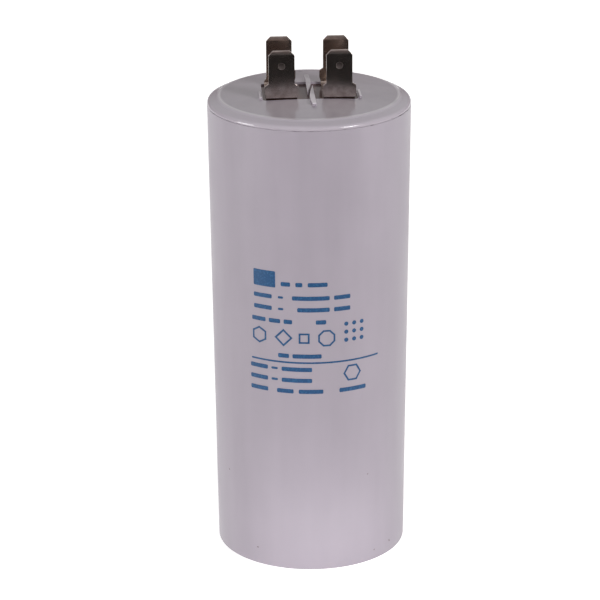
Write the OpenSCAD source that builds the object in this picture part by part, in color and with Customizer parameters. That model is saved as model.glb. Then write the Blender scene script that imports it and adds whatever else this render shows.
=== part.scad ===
// Motor capacitor in a drafted plastic case, with two double push-on terminals.
// Millimetres, +Z up, origin in the middle of the base.

/* [Case] */
// Outer diameter at the mouth
mouth_d = 50; // [46:0.5:56]
// How much narrower the base is than the mouth
taper_d = 2.5; // [0:0.25:4]
// Height of the mouth above the base
case_h = 115; // [90:1:140]
// Wall thickness
case_wall = 1.8; // [1.4:0.1:2.4]
// Thickness of the closed base
base_t = 2; // [1.5:0.25:3]
// Rounding of the base's outer edge
base_edge_r = 0.2; // [0.1:0.1:1.2]
// Chamfer on both sides of the seam between case and cover
seam_chamfer = 0.15; // [0.1:0.05:0.3]

/* [Cover] */
// Width of the rim ring around the raised panel
rim_w = 2.05; // [1.8:0.05:3]
// Height of the rim ring above the mouth
rim_h = 1.75; // [1.4:0.05:2.4]
// Rounding of the rim ring's outer edge
rim_edge_r = 1.1; // [0.6:0.1:1.4]
// Fall of the rim ring's top towards its outer edge
rim_fall = 0.8; // [0.3:0.05:0.9]
// Height of the raised panel above the rim ring
panel_rise = 0.4; // [0.2:0.05:0.8]
// Width of the panel's sloping edge
panel_slope = 0.6; // [0.3:0.1:1]
// Rise of the panel's crown from its edge to its middle
crown_rise = 1; // [0.4:0.1:1.5]
// Thickness of the panel at its edge
panel_t = 2.8; // [2.2:0.1:3.6]
// Depth of the skirt inside the mouth
skirt_h = 6; // [4:0.5:7.5]
// Thickness of the skirt
skirt_t = 1.5; // [1.2:0.1:2]
// Gap between the skirt and the case wall
skirt_gap = 0.1; // [0.05:0.05:0.2]

/* [Terminal recess] */
// Gap between the terminals and the front and rear walls of the recess
recess_gap = 0.3; // [0.2:0.05:0.5]
// Gap between the terminals' shoulders and the outer walls of the recess
recess_side = 0.4; // [0.3:0.05:1]
// Rounding of the corners of the recess
recess_r = 0.8; // [0.4:0.1:1.2]
// Height of the floor of the recess above the panel's edge
recess_floor = 0.2; // [0.1:0.05:0.4]

/* [Locating ribs] */
// Width of a rib beside a terminal
rib_w = 0.7; // [0.5:0.05:1]
// Length of a rib
rib_l = 5.6; // [4:0.2:7]
// Height of the ribs' tops above the panel's middle
rib_rise = 0.25; // [0.1:0.05:0.5]
// Gap between a rib and the outer wall of the recess
rib_gap = 0.3; // [0.2:0.05:0.6]
// Distance of a rib's front end behind the front wall of the recess
rib_back = 0.8; // [0.4:0.1:1.6]

/* [Divider fins] */
// Length of a fin
fin_l = 15.4; // [12:0.2:17]
// Length missing from the blunt outer end of a fin's bow shape
fin_blunt = 5; // [3:0.2:7]
// Greatest width of a fin
fin_w = 1.5; // [1.2:0.05:1.8]
// Height of the fins' tops above the panel's middle
fin_rise = 0.4; // [0.2:0.05:1]
// Inset of a fin's curved side from the panel's edge level to its top
fin_draft = 0.2; // [0.1:0.05:0.4]
// Distance of a fin's straight side from the middle of both fins
fin_side = 0.8; // [0.6:0.05:1]
// Distance by which a fin's inner tip reaches past the middle
fin_reach = 2.5; // [1.5:0.1:3]
// Sideways place of the middle of both fins
fin_shift = 0.3; // [0:0.05:0.4]

/* [Moulding mark] */
// Length of the slot-shaped mark at the rear of the panel
mark_l = 1.4; // [1:0.1:2]
// Width of the mark
mark_w = 0.45; // [0.3:0.05:0.7]
// Depth of the mark
mark_depth = 0.5; // [0.3:0.1:0.8]
// Sideways place of the mark's middle
mark_x = -1.4; // [-3:0.1:3]
// Distance of the mark from the panel's rear edge
mark_inset = 3.3; // [2:0.1:5]

/* [Terminals] */
// Distance between the two poles
pole_pitch = 14; // [12:0.2:18]
// Overall depth of a terminal, front face to rear face
term_l = 14.4; // [12:0.2:17]
// Thickness of the sheet
tab_t = 0.8; // [0.6:0.05:1]
// Width of a push-on tab
tab_w = 6.3; // [5.6:0.05:6.6]
// Width across the shoulders
shoulder_w = 8.1; // [7.6:0.1:8.8]
// Width of the base between the tabs
foot_w = 7.5; // [7:0.1:8]
// Inner radius of the two bends
bend_r = 0.4; // [0.3:0.05:0.8]
// Height over which the base's width runs out into a tab
flare_h = 0.9; // [0.6:0.1:1.2]
// Height of the shoulders above the bends
shoulder_h = 3.2; // [2.4:0.1:4]
// Slope of the shoulders
shoulder_drop = 0.6; // [0.3:0.1:0.9]
// Length of a tab above its shoulders
tab_l = 8.2; // [7:0.1:9.5]
// Sideways cut of the tip's corners
tip_cut_x = 1.1; // [0.8:0.1:1.4]
// Downward cut of the tip's corners
tip_cut_z = 1.2; // [0.9:0.1:1.5]
// Length of the bevels on the tip's faces
tip_bevel = 0.4; // [0.3:0.05:0.9]
// Depth of the bevels at the tip
tip_inset = 0.16; // [0.1:0.02:0.25]
// Diameter of the latch dimple
dimple_d = 1.7; // [1.4:0.1:2]
// Depth of the latch dimple
dimple_depth = 0.2; // [0.15:0.05:0.4]
// Distance of the latch dimple below the tip
dimple_drop = 3.8; // [3.2:0.1:4.5]

/* [Rivets and tags] */
// Outer diameter of a rivet's shank
shank_d = 3.2; // [2.8:0.1:3.6]
// Wall thickness of a rivet's shank
shank_wall = 0.6; // [0.4:0.1:0.8]
// Clearance around a shank
shank_gap = 0.05; // [0.03:0.01:0.1]
// Overhang of a rivet's head and rolled end beyond its shank
head_over = 1; // [0.7:0.1:1.2]
// Thickness of a rivet's head and of its rolled end
head_t = 0.5; // [0.4:0.05:0.7]
// Inset of a head's rounded-off edge
head_edge = 0.25; // [0.1:0.05:0.35]
// Thickness of a solder tag
tag_t = 0.6; // [0.4:0.05:0.8]
// Outer diameter of a solder tag's ring
tag_d = 6.4; // [5.8:0.1:7]
// Width of a solder tag's tongue
tag_w = 4; // [3.4:0.1:5]
// Distance from the rivet to the solder point
tag_l = 5; // [4.4:0.1:6]

/* [Winding] */
// Thickness of resin around the film winding
winding_gap = 1.5; // [1:0.1:3]
// Height of the element above the case's floor
element_z = 5; // [4:0.2:7]
// Thickness of the sprayed metal on each end
spray_t = 0.6; // [0.3:0.1:1]
// Outer diameter of the core tube
core_d = 9; // [8:0.2:11]
// Wall thickness of the core tube
core_wall = 1.1; // [0.8:0.1:1.3]
// Height of the core tube above the upper sprayed end
core_proud = 0.6; // [0.2:0.1:1.2]

/* [Leads] */
// Diameter of the lead wire
wire_d = 1.2; // [0.9:0.1:1.5]
// Wall thickness of the sleeve in the core
sleeve_wall = 0.55; // [0.3:0.05:0.7]
// Clearance between sleeve and wire, and between resin and case
slip = 0.05; // [0.03:0.01:0.1]
// Length of bare wire between each end of the sleeve and the next bend
sleeve_bare = 0.6; // [0.3:0.1:1.5]
// Clearance between the long lead's bends and the core's bore
bend_clear = 0.4; // [0.3:0.1:0.8]
// Clearance between the resin and the long lead's upper run
lead_clear = 0.4; // [0.3:0.1:1]
// Distance of the lower solder joint from the axis
lower_joint_x = 10; // [8.4:0.2:13]
// Length of wire past the middle of the lower joint
wire_tail = 1; // [0.6:0.1:1.4]
// Diameter of a solder joint at its foot
solder_d = 4.4; // [3.8:0.1:5]
// Narrowing of the lower joint away from its foot
solder_taper = 1.4; // [0.8:0.1:1.8]
// Width of solder around the wire at the thin end of an upright joint
solder_rim = 0.5; // [0.3:0.1:0.8]
// Solder over the wire, beyond its diameter
solder_cap = 0.4; // [0.2:0.1:0.8]
// Bare margin of a tag's tongue around its solder
tag_margin = 0.3; // [0.2:0.05:0.5]

/* [Resin] */
// Depth of resin above the upper sprayed end
resin_over = 5; // [3:0.2:7]
// Height of the air space between the resin and the panel
air_h = 9.15; // [7.5:0.05:12]

/* [Hidden] */

$fn = 96;
arc_steps = 8;
// Length by which a cut runs past the face it opens
over = 1;
// Depth by which a raised shape runs into the panel below it
sink = 0.5;
// Least height of the rim ring's upright edge, and least rounding above it
least_edge = 0.01;
LEFT = -1;
RIGHT = 1;

// Case and cover
mouth_r = mouth_d / 2;
base_r = mouth_r - taper_d / 2;
draft = (mouth_r - base_r) / case_h;
rim_z = case_h + rim_h;
rim_tilt = atan(rim_fall / rim_w);
rim_edge_most = ((rim_h - seam_chamfer - least_edge) * cos(rim_tilt) - rim_w * sin(rim_tilt)) / (1 - sin(rim_tilt));
rim_edge = max(least_edge, min(rim_edge_r, rim_edge_most));
rim_edge_z = rim_z - (rim_edge * (1 - sin(rim_tilt)) + rim_w * sin(rim_tilt)) / cos(rim_tilt);
panel_foot_r = mouth_r - rim_w;
panel_r = panel_foot_r - panel_slope;
panel_z = rim_z + panel_rise;
panel_under = panel_z - panel_t;
crown_r = (panel_r * panel_r + crown_rise * crown_rise) / (2 * crown_rise);
crown_top = panel_z + crown_rise;
fin_h = crown_rise + fin_rise;
skirt_z = case_h - skirt_h;
skirt_r = inner_r(skirt_z) - skirt_gap;
mark_y = panel_r - mark_inset;

// Terminals
pole_x = pole_pitch / 2;
foot_z = panel_z + recess_floor;
foot_top = foot_z + tab_t;
recess_w = pole_pitch + shoulder_w + 2 * recess_side;
recess_l = term_l + 2 * recess_gap;
rib_x = recess_w / 2 + rib_gap + rib_w / 2;
rib_y = (rib_l - recess_l) / 2 + rib_back;
bend_outer = bend_r + tab_t;
bend_top = foot_z + bend_outer;
shoulder_z = bend_top + shoulder_h;
tip_z = shoulder_z + tab_l;
shank_hole_d = shank_d + 2 * shank_gap;
head_d = shank_d + 2 * head_over;
tag_z = panel_under - tag_t;

// Element, leads and resin
lower_z = base_t + element_z;
resin_z = panel_under - air_h;
upper_z = resin_z - resin_over;
winding_z = lower_z + spray_t;
winding_l = upper_z - spray_t - winding_z;
winding_d = 2 * (inner_r(lower_z) - winding_gap);
core_bore = core_d - 2 * core_wall;
wire_r = wire_d / 2;
wire_bend = core_bore / 2 - bend_clear;
joint_x = pole_x + tag_l;
lower_wire_z = lower_z - wire_r;
upper_wire_z = resin_z + lead_clear + wire_r;
low_turn_z = lower_wire_z + wire_bend;
top_turn_z = upper_wire_z - wire_bend;
sleeve_z = low_turn_z + sleeve_bare;
sleeve_l = top_turn_z - sleeve_bare - sleeve_z;
sleeve_bore = wire_d + 2 * slip;
sleeve_d = sleeve_bore + 2 * sleeve_wall;
solder_h = wire_d + solder_cap;
solder_tip_d = wire_d + 2 * solder_rim;

// Outer and inner radius of the case at a height
function outer_r(z) = base_r + draft * z;
function inner_r(z) = outer_r(z) - case_wall;

// Height of the crowned panel at a distance from the axis
function crown_z(r) = crown_top - crown_r + sqrt(crown_r * crown_r - r * r);

// Points of an arc about c, from angle a0 to a1
function arc(c, r, a0, a1) =
  [for (i = [0:arc_steps]) let (a = a0 + (a1 - a0) * i / arc_steps) c + r * [cos(a), sin(a)]];

// Rounded rectangle in plan
module rounded_plate(w, l, r, h) {
  translate([-w / 2 + r, -l / 2, 0]) cube([w - 2 * r, l, h]);
  translate([-w / 2, -l / 2 + r, 0]) cube([w, l - 2 * r, h]);
  for (sx = [-1, 1], sy = [-1, 1])
    translate([sx * (w / 2 - r), sy * (l / 2 - r), 0]) cylinder(r = r, h = h);
}

// Ring about the axis
module ring(outer_d, inner_d, z, h) {
  translate([0, 0, z])
  difference() {
    cylinder(d = outer_d, h = h);
    translate([0, 0, -over]) cylinder(d = inner_d, h = h + 2 * over);
  }
}

// Places its children at one pole, mirrored for the left one
module at_pole(side) {
  if (side == LEFT) mirror([1, 0, 0]) translate([pole_x, 0, 0]) children();
  else translate([pole_x, 0, 0]) children();
}

// Drafted cup with a closed base
module case() {
  color("#bdb5be")
  rotate_extrude()
  polygon(concat(
    [[0, 0]],
    arc([outer_r(base_edge_r) - base_edge_r, base_edge_r], base_edge_r, -90, 0),
    [
      [outer_r(case_h - seam_chamfer), case_h - seam_chamfer],
      [mouth_r - seam_chamfer, case_h],
      [inner_r(case_h), case_h],
      [inner_r(base_t), base_t],
      [0, base_t]
    ]
  ));
}

// Half section of the cover: crowned panel, skirt and rim ring
module cover_section() {
  polygon(concat(
    [[0, panel_under], [skirt_r - skirt_t, panel_under], [skirt_r - skirt_t, skirt_z]],
    [[skirt_r, skirt_z], [skirt_r, case_h], [mouth_r - seam_chamfer, case_h]],
    [[mouth_r, case_h + seam_chamfer]],
    arc([mouth_r - rim_edge, rim_edge_z], rim_edge, 0, 90 - rim_tilt),
    [[panel_foot_r, rim_z]],
    arc([0, crown_top - crown_r], crown_r, acos(panel_r / crown_r), 90)
  ));
}

// One fin, with a straight side at x = 0, pointed at its inner end and blunt at its outer end
module fin() {
  bow_l = fin_l + fin_blunt;
  bow_r = (bow_l * bow_l / 4 + fin_w * fin_w) / (2 * fin_w);
  slant = fin_draft / fin_h;
  intersection() {
    translate([bow_r - fin_w, -bow_l / 2, -sink])
      cylinder(r1 = bow_r + slant * sink, r2 = bow_r - fin_draft, h = fin_h + sink);
    translate([-2 * fin_w, -fin_l, -sink]) cube([2 * fin_w, fin_l + over, fin_h + sink]);
  }
}

// Sunk space in the crowned panel for the bases of both terminals
module recess() {
  translate([0, 0, foot_z]) rounded_plate(recess_w, recess_l, recess_r, crown_rise + over);
}

// Low rib with rounded ends that keeps a terminal from turning
module rib() {
  translate([0, 0, panel_z - sink]) {
    translate([-rib_w / 2, (rib_w - rib_l) / 2, 0]) cube([rib_w, rib_l - rib_w, sink + crown_rise + rib_rise]);
    for (end = [-1, 1])
      translate([0, end * (rib_l - rib_w) / 2, 0]) cylinder(d = rib_w, h = sink + crown_rise + rib_rise);
  }
}

// Hole through the floor of the recess for one rivet
module rivet_hole() {
  translate([0, 0, panel_under - over]) cylinder(d = shank_hole_d, h = panel_t + recess_floor + 2 * over);
}

// Moulded cover that closes the mouth
module cover() {
  color("#a29ba2")
  difference() {
    union() {
      difference() {
        rotate_extrude() cover_section();
        recess();
      }
      for (turn = [0, 180])
        translate([fin_shift, 0, panel_z]) rotate(turn) translate([fin_side, fin_reach, 0]) fin();
      for (side = [LEFT, RIGHT]) translate([side * rib_x, rib_y, 0]) rib();
    }
    for (side = [LEFT, RIGHT]) at_pole(side) rivet_hole();
    translate([mark_x - mark_l / 2, mark_y - mark_w / 2, crown_z(mark_y) - mark_depth])
      cube([mark_l, mark_w, mark_depth + over]);
  }
}

// Half outline of a tab, with or without a shoulder, from the bend to the tip
function tab_half(has_shoulder) = concat(
  [[foot_w / 2, bend_top]],
  has_shoulder
    ? [[shoulder_w / 2, bend_top + flare_h], [shoulder_w / 2, shoulder_z - shoulder_drop],
       [tab_w / 2, shoulder_z]]
    : [[tab_w / 2, bend_top + flare_h]],
  [[tab_w / 2, tip_z - tip_cut_z], [tab_w / 2 - tip_cut_x, tip_z]]
);

// The same points on the other side, in reverse order
function flipped(points) = [for (i = [len(points) - 1:-1:0]) [-points[i].x, points[i].y]];

// One upright tab with its front face at y = 0 and a latch dimple in one face, 0 the front and 1 the rear
module tab(outer_shoulder, dimple_face) {
  difference() {
    translate([0, tab_t, 0]) rotate([90, 0, 0]) linear_extrude(tab_t)
      polygon(concat(tab_half(outer_shoulder), flipped(tab_half(true))));
    dimple_cut(dimple_face);
    for (face = [0, 1]) tip_bevel_cut(face);
  }
}

// Ball that sinks the latch dimple into one face of a tab
module dimple_cut(face) {
  ball_r = (dimple_d * dimple_d / 4 + dimple_depth * dimple_depth) / (2 * dimple_depth);
  translate([0, face * tab_t, tip_z - dimple_drop]) mirror([0, face, 0])
    translate([0, dimple_depth - ball_r, 0]) sphere(r = ball_r);
}

// Wedge that thins one face of the tip
module tip_bevel_cut(face) {
  slant = atan(tip_inset / tip_bevel);
  translate([0, face * tab_t, tip_z - tip_bevel]) mirror([0, face, 0])
    rotate([-slant, 0, 0]) translate([-tab_w, -over, 0]) cube([2 * tab_w, over, tip_bevel + over]);
}

// Quarter bend between the base and a tab whose outer face is at y = 0
module bend() {
  translate([-foot_w / 2, bend_outer, bend_top]) rotate([90, 0, 90])
  difference() {
    cylinder(r = bend_outer, h = foot_w);
    translate([0, 0, -over]) cylinder(r = bend_r, h = foot_w + 2 * over);
    translate([0, -2 * bend_outer, -over]) cube([2 * bend_outer, 4 * bend_outer, foot_w + 2 * over]);
    translate([-2 * bend_outer, 0, -over]) cube([4 * bend_outer, 2 * bend_outer, foot_w + 2 * over]);
  }
}

// Double push-on terminal folded from one strip
module terminal(side) {
  color("#6f6663")
  at_pole(side)
  difference() {
    union() {
      translate([0, -term_l / 2, 0]) tab(true, 0);
      translate([0, term_l / 2 - tab_t, 0]) tab(false, 1);
      translate([0, -term_l / 2, 0]) bend();
      mirror([0, 1, 0]) translate([0, -term_l / 2, 0]) bend();
      translate([-foot_w / 2, -term_l / 2 + bend_outer, foot_z])
        cube([foot_w, term_l - 2 * bend_outer, tab_t]);
    }
    translate([0, 0, foot_z - over]) cylinder(d = shank_hole_d, h = tab_t + 2 * over);
  }
}

// Hollow rivet through terminal, cover and solder tag
module rivet(side) {
  low_z = tag_z - head_t;
  high_z = foot_top + head_t;
  color("#b9a36a")
  at_pole(side)
  difference() {
    union() {
      translate([0, 0, low_z]) cylinder(d = shank_d, h = high_z - low_z);
      translate([0, 0, foot_top]) cylinder(d1 = head_d, d2 = head_d - 2 * head_edge, h = head_t);
      translate([0, 0, low_z]) cylinder(d1 = head_d - 2 * head_edge, d2 = head_d, h = head_t);
    }
    translate([0, 0, low_z - over]) cylinder(d = shank_d - 2 * shank_wall, h = high_z - low_z + 2 * over);
  }
}

// Flat tag under the cover, clamped by the rivet
module solder_tag(side) {
  color("#c8b26e")
  at_pole(side)
  translate([0, 0, tag_z])
  difference() {
    union() {
      cylinder(d = tag_d, h = tag_t);
      translate([0, -tag_w / 2, 0]) cube([tag_l, tag_w, tag_t]);
      translate([tag_l, 0, 0]) cylinder(d = tag_w, h = tag_t);
    }
    translate([0, 0, -over]) cylinder(d = shank_hole_d, h = tag_t + 2 * over);
  }
}

// Solder that holds a lead's end to its tag
module tag_solder(side) {
  color("#a9a9ad")
  at_pole(side)
  translate([tag_l, 0, tag_z - solder_h])
  difference() {
    cylinder(d1 = solder_tip_d, d2 = tag_w - 2 * tag_margin, h = solder_h);
    translate([0, 0, -over]) cylinder(r = wire_r, h = solder_h + 2 * over);
  }
}

// Straight lead from the upper sprayed end to the left tag
module short_lead_path() {
  translate([-joint_x, 0, upper_z]) cylinder(r = wire_r, h = tag_z - upper_z);
}

module short_lead() {
  color("#c77b4a") short_lead_path();
}

// Quarter turn of wire in the XZ plane: from the origin, first up, then towards +X
module wire_turn() {
  translate([wire_bend, 0, 0]) rotate([90, 0, 0])
    rotate_extrude(angle = 90, start = 90) translate([wire_bend, 0]) circle(r = wire_r);
}

// Lead from the lower sprayed end through the core to the right tag
module long_lead_path() {
  translate([wire_bend, 0, lower_wire_z]) rotate([0, 90, 0])
    cylinder(r = wire_r, h = lower_joint_x + wire_tail - wire_bend);
  translate([0, 0, low_turn_z]) {
    mirror([0, 0, 1]) wire_turn();
    cylinder(r = wire_r, h = top_turn_z - low_turn_z);
  }
  translate([0, 0, top_turn_z]) wire_turn();
  translate([wire_bend, 0, upper_wire_z]) rotate([0, 90, 0])
    cylinder(r = wire_r, h = joint_x - 2 * wire_bend);
  translate([joint_x, 0, upper_wire_z + wire_bend]) {
    rotate([0, 180, 0]) wire_turn();
    cylinder(r = wire_r, h = tag_z - upper_wire_z - wire_bend);
  }
}

module long_lead() {
  color("#c77b4a") long_lead_path();
}

// Insulating sleeve on the long lead inside the core
module lead_sleeve() {
  color("#d8d2c4") ring(sleeve_d, sleeve_bore, sleeve_z, sleeve_l);
}

// Film winding, all turns as one roll
module winding() {
  color("#cfd3d6") ring(winding_d, core_d, winding_z, winding_l);
}

// Tube that the film is wound on
module core_tube_form() {
  ring(core_d, core_bore, lower_z, upper_z + core_proud - lower_z);
}

module core_tube() {
  color("#e4dfd2") core_tube_form();
}

// Sprayed metal that joins the film's edges at each end
module end_spray_upper() {
  color("#9c9ca0") ring(winding_d, core_d, upper_z - spray_t, spray_t);
}

module end_spray_lower() {
  color("#9c9ca0") ring(winding_d, core_d, lower_z, spray_t);
}

// Solder around the short lead's foot
module solder_upper_form() {
  translate([-joint_x, 0, upper_z]) cylinder(d1 = solder_d, d2 = solder_tip_d, h = solder_h);
}

module solder_upper() {
  color("#a9a9ad")
  difference() {
    solder_upper_form();
    translate([-joint_x, 0, upper_z - over]) cylinder(r = wire_r, h = solder_h + 2 * over);
  }
}

// Solder on the long lead's lower end
module solder_lower_form() {
  translate([lower_joint_x, 0, lower_z - solder_h])
    cylinder(d1 = solder_d - solder_taper, d2 = solder_d, h = solder_h);
}

module solder_lower() {
  color("#a9a9ad")
  difference() {
    solder_lower_form();
    translate([0, 0, lower_wire_z]) rotate([0, 90, 0])
      cylinder(r = wire_r, h = lower_joint_x + wire_tail);
  }
}

// Potting resin around the element, up to below the cover's skirt
module resin() {
  color("#8f8a80")
  difference() {
    translate([0, 0, base_t])
      cylinder(r1 = inner_r(base_t) - slip, r2 = inner_r(resin_z) - slip, h = resin_z - base_t);
    ring(winding_d, core_bore, lower_z, upper_z - lower_z);
    core_tube_form();
    translate([0, 0, sleeve_z]) cylinder(d = sleeve_d, h = sleeve_l);
    long_lead_path();
    short_lead_path();
    solder_lower_form();
    solder_upper_form();
  }
}

case();
cover();
terminal(LEFT);  // terminal_left
terminal(RIGHT);  // terminal_right
rivet(LEFT);  // rivet_left
rivet(RIGHT);  // rivet_right
solder_tag(LEFT);  // solder_tag_left
solder_tag(RIGHT);  // solder_tag_right
tag_solder(LEFT);  // tag_solder_left
tag_solder(RIGHT);  // tag_solder_right
short_lead();
long_lead();
lead_sleeve();
winding();
core_tube();
end_spray_upper();
end_spray_lower();
solder_upper();
solder_lower();
resin();
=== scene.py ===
"""Motor capacitor with two double push-on terminals: models, dresses and lights the visible pieces."""

from __future__ import annotations

import logging
import math
from contextlib import contextmanager
from dataclasses import dataclass, field
from enum import Enum
from typing import Any, Callable, Iterator, NamedTuple, Sequence

import bmesh
import bpy
from bpy.types import Material, Node, NodeSocket, NodeTree, Object
from mathutils import Matrix, Vector

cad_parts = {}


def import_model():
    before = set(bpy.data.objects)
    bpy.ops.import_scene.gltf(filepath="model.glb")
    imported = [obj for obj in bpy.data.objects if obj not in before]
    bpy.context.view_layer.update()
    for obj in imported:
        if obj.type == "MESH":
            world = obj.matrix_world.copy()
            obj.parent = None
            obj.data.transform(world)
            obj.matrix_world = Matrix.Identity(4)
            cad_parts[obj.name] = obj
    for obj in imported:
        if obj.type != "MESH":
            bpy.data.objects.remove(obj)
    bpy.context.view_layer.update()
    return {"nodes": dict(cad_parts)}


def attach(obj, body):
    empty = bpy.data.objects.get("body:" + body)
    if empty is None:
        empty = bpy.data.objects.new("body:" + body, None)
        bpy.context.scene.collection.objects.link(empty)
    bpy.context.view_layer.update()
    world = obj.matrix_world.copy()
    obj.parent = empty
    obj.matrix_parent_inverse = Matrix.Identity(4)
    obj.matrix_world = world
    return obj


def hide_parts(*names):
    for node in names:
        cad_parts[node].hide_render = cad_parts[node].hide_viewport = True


LOG = logging.getLogger("motor_capacitor")
BODY = "root"

WHITE = (1.0, 1.0, 1.0, 1.0)
# Values that most of a noise lies between
NOISE_SPAN = (0.3, 0.7)


def mm(size: float) -> float:
    """Turns millimetres into metres."""
    return size / 1000


# Distance below which two points of a piece are one
SAME_POINT = mm(0.001)
# Sizes that several pieces share: the case's mouth and height, the poles' places and the rivets' holes
MOUTH_D = mm(50)
CASE_H = mm(115)
POLE_X = mm(7)
RIVET_HOLE_D = mm(3.3)
# Seam of case and cover: chamfer, half the gap, and the chamfer's rounding outside and at the seam
SEAM_CHAMFER = mm(0.1)
SEAM_GAP = mm(0.02)
SEAM_OUTER = mm(0.08)
SEAM_INNER = mm(0.03)
# Turn of the surface from one facet to the next on a rounded corner
ARC_STEP = math.radians(15)
# Facets around a turned piece as large as the case, and around a rivet's hole
FACETS = 192
HOLE_FACETS = 40


class Element(Enum):
    """What a selection in edit mode is made of."""

    VERTEX = "VERT"
    EDGE = "EDGE"
    FACE = "FACE"


class Joining(Enum):
    """How a second solid changes a piece."""

    UNION = "UNION"
    CUT = "DIFFERENCE"


class Side(Enum):
    """The two poles, by the sign of their place along X."""

    LEFT = -1
    RIGHT = 1


class Corner(NamedTuple):
    """Corner of a turned profile: distance from the axis, height and rounding."""

    radius: float
    height: float
    rounding: float = 0.0


def linear(hex_colour: str) -> tuple[float, float, float, float]:
    """Turns an sRGB hex colour into linear values.

    Args:
        hex_colour: A hash sign and six hex digits.

    Returns:
        Red, green, blue and alpha, as a colour socket takes them.
    """
    channels = [int(hex_colour[at:at + 2], 16) / 255 for at in (1, 3, 5)]
    red, green, blue = (c / 12.92 if c <= 0.04045 else ((c + 0.055) / 1.055) ** 2.4 for c in channels)
    return red, green, blue, 1.0


def per(size: float) -> float:
    """Gives the texture scale at which a pattern repeats about once in a size."""
    return 1 / size


def about(middle: float, spread: float) -> tuple[float, float]:
    """Gives the values that lie a spread below and above a middle one."""
    return middle - spread, middle + spread


def add(tree: NodeTree, kind: str, inputs: dict[str, Any] | Sequence[Any] = (), **settings: Any) -> Node:
    """Adds a node with its settings, values and links.

    Args:
        tree: The node tree that gets the node.
        kind: Blender's name for the kind of node, without ShaderNode in front.
        inputs: What its inputs get, by their names or in the order of those in use. That is a value,
            a hex colour, an output, or a node, which stands for its first output in use.
        **settings: Properties of the node itself.

    Returns:
        The new node.
    """
    node = tree.nodes.new("ShaderNode" + kind)
    for key, value in settings.items():
        setattr(node, key, value)
    if not isinstance(inputs, dict):
        used = [number for number, socket in enumerate(node.inputs) if socket.enabled]
        inputs = dict(zip(used, inputs))
    for key, value in inputs.items():
        if isinstance(value, Node):
            value = next(output for output in value.outputs if output.enabled)
        if isinstance(value, NodeSocket):
            tree.links.new(value, node.inputs[key])
        else:
            node.inputs[key].default_value = linear(value) if isinstance(value, str) else value
    return node


def bare_material(name: str) -> Material:
    """Makes a material whose node tree is empty.

    Args:
        name: Name of the material.

    Returns:
        The new material.
    """
    material = bpy.data.materials.new(name)
    material.use_nodes = True
    material.node_tree.nodes.clear()
    return material


def begin(name: str, primitive: Callable[..., Any], **settings: Any) -> Object:
    """Adds a primitive with nothing else selected and puts its place into its mesh.

    Args:
        name: Name of the new piece.
        primitive: The operator that adds it.
        **settings: Size and place for the operator.

    Returns:
        The new object, active and selected, at the origin.
    """
    bpy.ops.object.select_all(action="DESELECT")
    primitive(**settings)
    piece = bpy.context.object
    piece.name = name
    piece.data.name = name
    bpy.ops.object.transform_apply(location=True, rotation=True, scale=True)
    return piece


def plate(name: str, width: float, length: float, middle: Sequence[float]) -> Object:
    """Adds a flat rectangle.

    Args:
        name: Name of the new piece.
        width: Size along X.
        length: Size along Y.
        middle: Place of its middle.

    Returns:
        The new object.
    """
    piece = begin(name, bpy.ops.mesh.primitive_plane_add, size=mm(1), location=middle)
    with editing(piece):
        bpy.ops.transform.resize(value=(width / mm(1), length / mm(1), 1), center_override=middle)
    return piece


def hold(piece: Object) -> None:
    """Makes a piece the only selected one and the active one.

    Args:
        piece: The piece to select.
    """
    bpy.ops.object.select_all(action="DESELECT")
    piece.select_set(True)
    bpy.context.view_layer.objects.active = piece


@contextmanager
def editing(piece: Object) -> Iterator[None]:
    """Opens a piece in edit mode with everything selected, and closes it again.

    Args:
        piece: The piece to open.
    """
    hold(piece)
    bpy.ops.object.mode_set(mode="EDIT")
    bpy.ops.mesh.select_mode(type=Element.VERTEX.value)
    bpy.ops.mesh.select_all(action="SELECT")
    yield
    bpy.ops.object.mode_set(mode="OBJECT")


def pick(kind: Element, test: Callable[[Vector], bool]) -> None:
    """Selects the elements of the open mesh whose corners all pass a test.

    Args:
        kind: What is selected.
        test: Says of a corner's place whether it belongs.
    """
    bpy.ops.mesh.select_mode(type=kind.value)
    bpy.ops.mesh.select_all(action="DESELECT")
    data = bpy.context.edit_object.data
    mesh = bmesh.from_edit_mesh(data)
    elements = {Element.VERTEX: mesh.verts, Element.EDGE: mesh.edges, Element.FACE: mesh.faces}[kind]
    for element in elements:
        corners = [element] if kind is Element.VERTEX else element.verts
        element.select_set(all(test(corner.co) for corner in corners))
    mesh.select_flush_mode()
    bmesh.update_edit_mesh(data)


def picked() -> list[Vector]:
    """Gives the places of the selected vertices of the open mesh."""
    mesh = bmesh.from_edit_mesh(bpy.context.edit_object.data)
    return [vertex.co.copy() for vertex in mesh.verts if vertex.select]


def pull(x: float = 0.0, y: float = 0.0, z: float = 0.0) -> None:
    """Extrudes the selection by a distance along each axis."""
    bpy.ops.mesh.extrude_region_move(TRANSFORM_OT_translate={"value": (x, y, z)})


def close_up() -> None:
    """Merges doubled points of the open mesh and turns its faces outwards."""
    bpy.ops.mesh.select_all(action="SELECT")
    bpy.ops.mesh.remove_doubles(threshold=SAME_POINT)
    bpy.ops.mesh.normals_make_consistent(inside=False)


def apply_modifier(piece: Object, kind: str, **settings: Any) -> None:
    """Adds a modifier to a piece and applies it.

    Args:
        piece: The piece to change.
        kind: Blender's name for the modifier.
        **settings: Properties of the modifier.
    """
    hold(piece)
    modifier = piece.modifiers.new(kind.lower(), kind)
    for key, value in settings.items():
        setattr(modifier, key, value)
    bpy.ops.object.modifier_apply(modifier=modifier.name)


def combine(piece: Object, tool: Object, joining: Joining) -> None:
    """Joins a second solid to a piece or cuts it out, and removes the second solid.

    Args:
        piece: The piece to change.
        tool: The solid that is joined or cut out.
        joining: Which of the two.
    """
    apply_modifier(piece, "BOOLEAN", object=tool, operation=joining.value, solver="EXACT")
    bpy.data.objects.remove(tool)


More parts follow.
